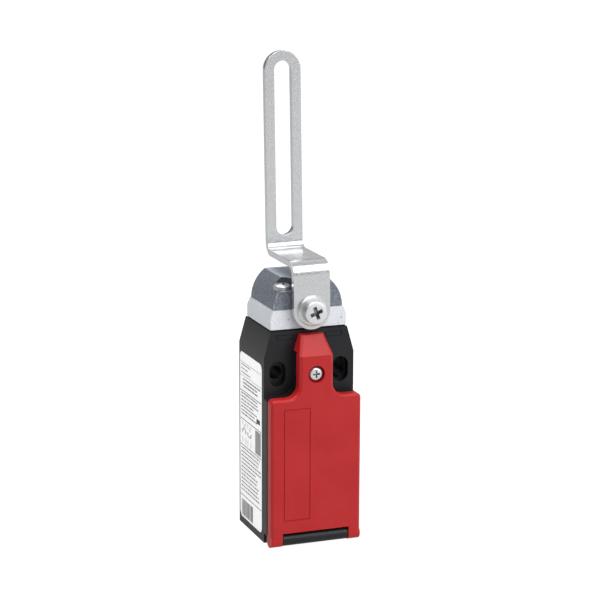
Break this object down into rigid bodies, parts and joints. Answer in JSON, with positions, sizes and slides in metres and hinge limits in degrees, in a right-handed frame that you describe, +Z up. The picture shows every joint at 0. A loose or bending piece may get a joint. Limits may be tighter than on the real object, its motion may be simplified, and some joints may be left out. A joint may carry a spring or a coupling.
{
  "type": "safety limit switch",
  "caption": "Switch with a slotted lever on a cast head over a narrow body whose cover hinges open on the terminals.",
  "frame": {"origin": "middle of the bottom of the box round the object; the body stands on z = 0", "axes": "+Z up along the body and the lever, +Y towards the mounting face at the back, +X to the right seen from the cover"},
  "size_m": [0.03, 0.031, 0.1534],
  "materials": {
    "black_plastic": "black glass-filled moulding with a fine satin grain",
    "red_plastic": "red moulding, satin, smooth",
    "zinc_casting": "zinc die casting, blasted, slightly sandy",
    "lever_steel": "galvanised strip steel with a fine spangle",
    "zinc_plated_steel": "bright zinc plate",
    "bright_steel": "turned bright steel",
    "hardened_steel": "hardened and oiled steel",
    "spring_wire": "drawn spring wire",
    "brass_parts": "stamped brass",
    "bearing_bronze": "oil-soaked sintered bronze",
    "contact_metal": "silver-plated copper alloy",
    "block_plastic": "light grey thermoset moulding",
    "carrier_plastic": "natural acetal moulding",
    "black_rubber": "nitrile rubber, matt",
    "label_film": "white film with plain grey rules"
  },
  "bodies": {
    "housing": {"housing": "black_plastic", "rating_label": "label_film", "cover_screw_insert": "brass_parts", "hinge_pin": "bright_steel", "head_casing": "zinc_casting", "head_gasket": "black_rubber", "head_screws": "zinc_plated_steel", "shaft_bushes": "bearing_bronze", "shaft_seal": "black_rubber", "plunger_guide": "brass_parts", "plunger_seal": "black_rubber", "contact_block": "block_plastic", "terminals": "brass_parts", "wire_clamps": "zinc_plated_steel", "terminal_screws": "zinc_plated_steel", "block_screws": "zinc_plated_steel", "return_spring": "spring_wire"},
    "shaft": {"shaft": "bright_steel", "cam": "hardened_steel", "circlip": "spring_wire", "lever_washer": "zinc_plated_steel", "lever_screw": "zinc_plated_steel"},
    "lever": {"lever": "lever_steel"},
    "plunger": {"head_plunger": "bright_steel", "contact_carrier": "carrier_plastic", "opening_bridge": "contact_metal", "closing_bridge": "contact_metal", "contact_springs": "spring_wire"},
    "cover": {"cover": "red_plastic", "cover_gasket": "black_rubber", "cover_screw": "zinc_plated_steel", "screw_retainer": "carrier_plastic"}
  },
  "joints": [
    {"name": "lever_turn", "type": "hinge", "parent": "housing", "child": "shaft", "pos_m": [0, 0, 0.075], "axis": [0, 1, 0], "range_deg": [0, 90], "stiffness_Nm_per_rad": 0.08},
    {"name": "lever_setting", "type": "hinge", "parent": "shaft", "child": "lever", "pos_m": [0, -0.0103, 0.075], "axis": [0, 1, 0], "range_deg": [-90, 0]},
    {"name": "plunger_travel", "type": "slide", "parent": "housing", "child": "plunger", "axis": [0, 0, -1], "range_m": [0, 0.0022], "deforming": ["return_spring"]},
    {"name": "cover_hinge", "type": "hinge", "parent": "housing", "child": "cover", "pos_m": [0, -0.01335, 0.00215], "axis": [1, 0, 0], "range_deg": [0, 90]}
  ],
  "couplings": [
    {"joint": "lever_turn", "follows": "plunger_travel", "rad_per_m": 713.99}
  ]
}
